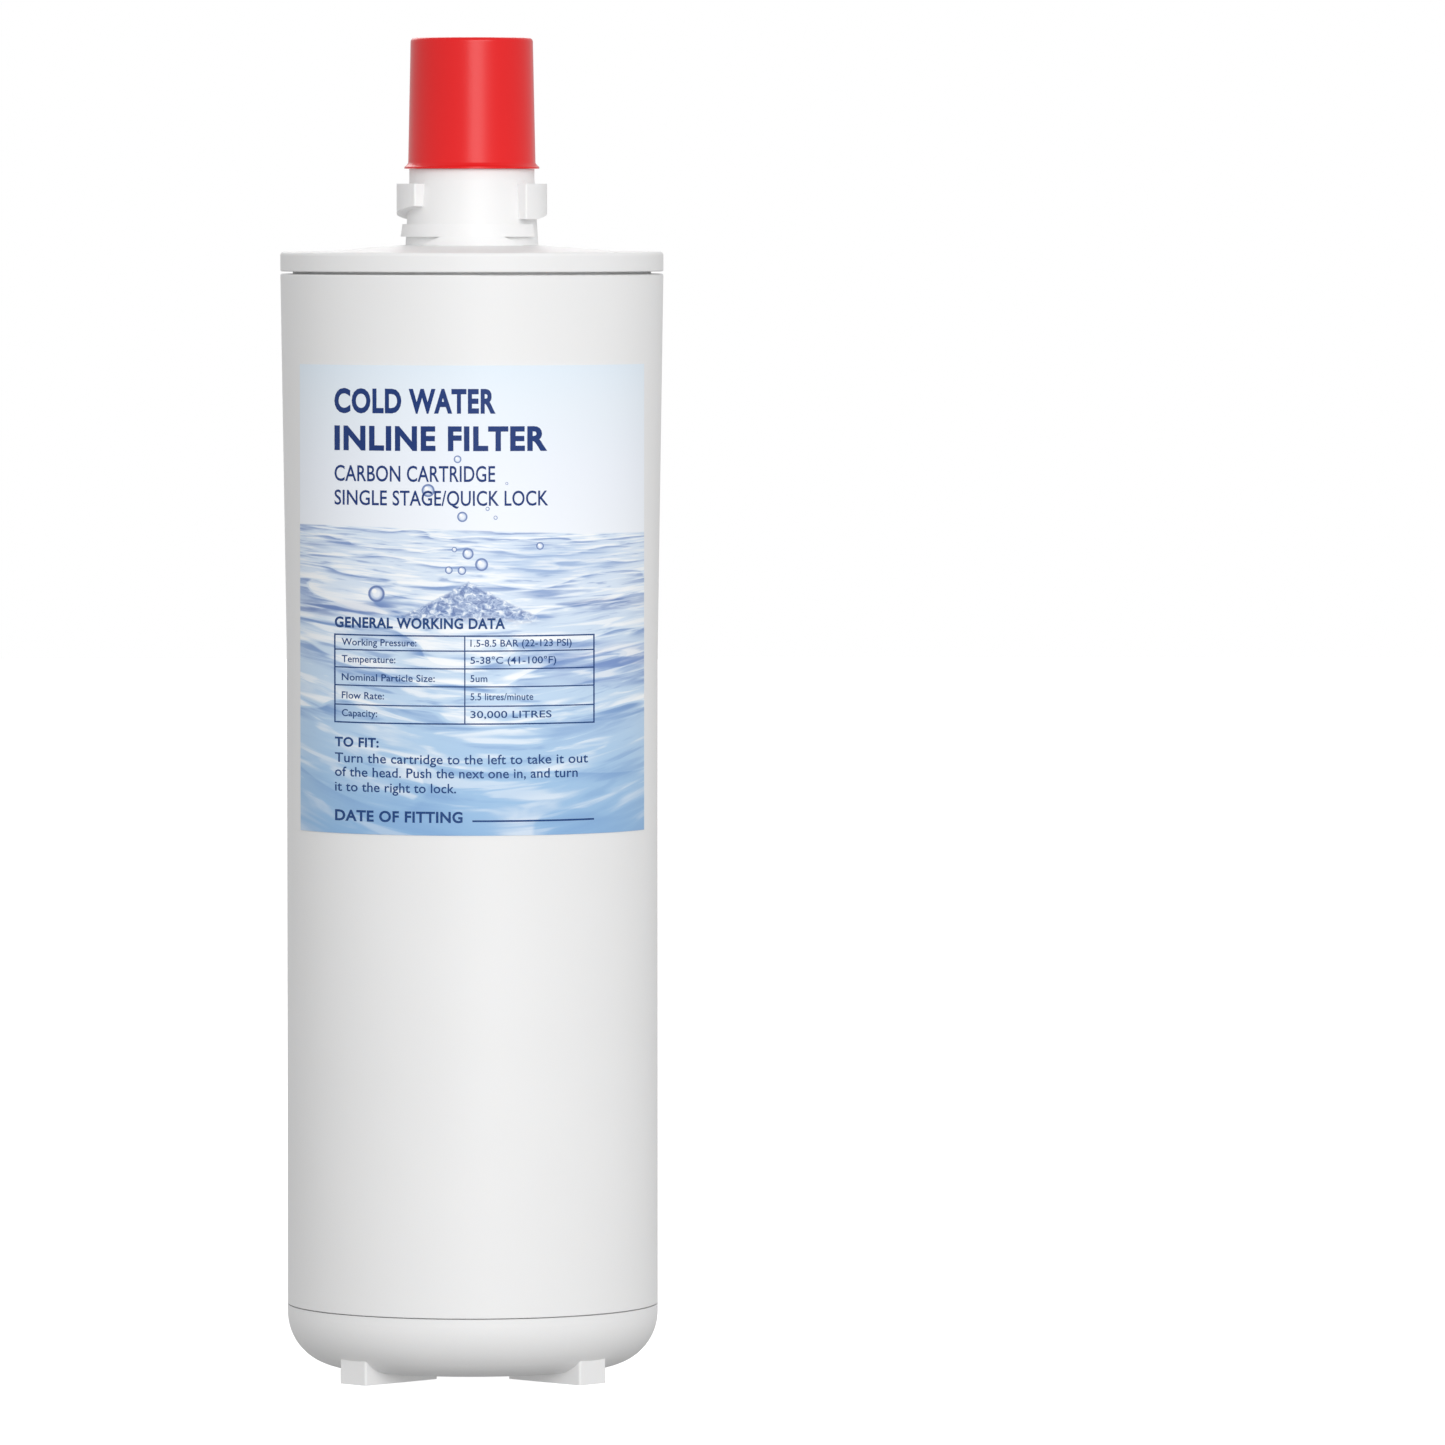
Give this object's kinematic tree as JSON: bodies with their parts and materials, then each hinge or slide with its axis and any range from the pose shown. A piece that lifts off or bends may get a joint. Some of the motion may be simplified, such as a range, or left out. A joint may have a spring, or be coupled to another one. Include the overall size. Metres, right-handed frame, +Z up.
{
  "type": "inline water filter",
  "caption": "Sealed quick-change water filter canister with a bayonet neck, short feet, a printed front label and a pull-off dust cap over its ports.",
  "frame": {"origin": "on the canister's axis, in the plane that the four feet stand on", "axes": "+Z up along the canister's axis to the neck and dust cap, -Y out of the middle of the front label"},
  "size_m": [0.083, 0.083, 0.29],
  "materials": {
    "cap_polyethylene": "satin",
    "housing_polypropylene": "satin",
    "label_film": "satin",
    "seal_rubber": "satin",
    "element_polypropylene": "satin",
    "carbon": "matte",
    "nonwoven": "matte",
    "netting_polyethylene": "satin",
    "hot_melt": "gloss",
    "bead_glass": "gloss"
  },
  "bodies": {
    "cartridge": {"head_closure": "housing_polypropylene", "canister_tube": "housing_polypropylene", "base_bowl": "housing_polypropylene", "front_label": "label_film", "inlet_oring": "seal_rubber", "outlet_oring": "seal_rubber", "element_top_cap": "element_polypropylene", "outlet_spout": "element_polypropylene", "element_bottom_cap": "element_polypropylene", "carbon_block": "carbon", "fines_liner": "nonwoven", "core_tube": "element_polypropylene", "prefilter_wrap": "nonwoven", "outer_netting": "netting_polyethylene", "top_bond_ring": "hot_melt", "bottom_bond_ring": "hot_melt", "scale_cup": "element_polypropylene", "scale_cup_lid": "element_polypropylene", "cup_screen": "nonwoven", "scale_beads": "bead_glass"},
    "cap": {"dust_cap": "cap_polyethylene"}
  },
  "joints": [
    {"name": "cap_pull", "type": "slide", "parent": "cartridge", "child": "cap", "axis": [0, 0, 1], "range_m": [0, 0.06]}
  ]
}
